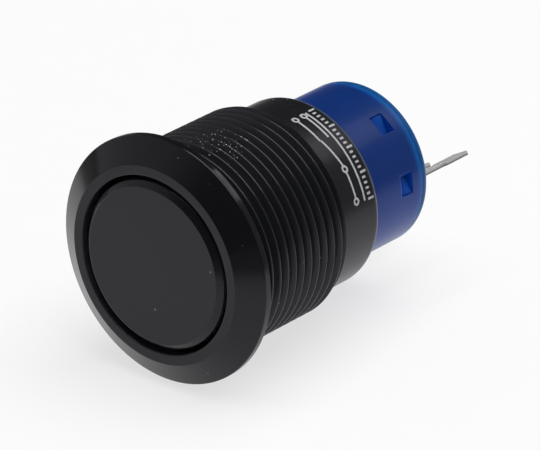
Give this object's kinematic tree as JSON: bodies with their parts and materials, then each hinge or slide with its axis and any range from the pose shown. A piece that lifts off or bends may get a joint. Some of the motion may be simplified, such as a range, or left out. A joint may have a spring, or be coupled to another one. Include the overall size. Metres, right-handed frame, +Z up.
{
  "type": "panel push button",
  "caption": "Flush round panel push button with a bevelled black flange, threaded barrel, blue snap-in change-over switch block and flat blade terminals.",
  "frame": {"origin": "centre of the panel seat, the back face of the flange, on the axis of the thread", "axes": "+Y along the axis from the operator into the panel, +Z up, +X to the right of the operator"},
  "size_m": [0.022, 0.0348, 0.022],
  "materials": {
    "black_barrel": "black anodised, satin",
    "black_button": "black anodised, fine matt",
    "blue_plastic": "moulded, satin",
    "white_plastic": "moulded, matt",
    "bright_steel": "bright",
    "black_rubber": "matt",
    "tin_plate": "tin plated",
    "copper_alloy": "rolled strip",
    "silver": "bright"
  },
  "bodies": {
    "barrel_assembly": {"bezel_barrel": "black_barrel", "stem_seal": "black_rubber", "spring_seat_washer": "bright_steel", "return_spring": "bright_steel", "switch_housing": "blue_plastic", "housing_gasket": "black_rubber", "housing_snap_ring": "bright_steel", "rocker_spring": "bright_steel", "rocker_pin": "bright_steel", "terminal_base": "blue_plastic", "terminal_com": "tin_plate", "terminal_no": "tin_plate", "terminal_nc": "tin_plate", "fixed_contact_no": "silver", "fixed_contact_nc": "silver"},
    "button": {"button_cap": "black_button", "plunger_stem": "bright_steel", "retaining_clip": "bright_steel", "driver": "white_plastic"},
    "rocker": {"contact_rocker": "copper_alloy", "rocker_contact_no": "silver", "rocker_contact_nc": "silver"}
  },
  "joints": [
    {"name": "button_press", "type": "slide", "parent": "barrel_assembly", "child": "button", "axis": [0, 1, 0], "range_m": [0, 0.002], "stiffness_N_per_m": 500, "springref_m": -0.003, "deforming": ["return_spring"]},
    {"name": "rocker_turn", "type": "hinge", "parent": "barrel_assembly", "child": "rocker", "pos_m": [0.00142, 0.01763, -0.00253], "axis": [-0.4909, 0, 0.8712], "range_deg": [0, 32.8], "deforming": ["rocker_spring"]}
  ],
  "couplings": [
    {"joint": "rocker_turn", "follows": "button_press", "rad_per_m": 286.05}
  ]
}
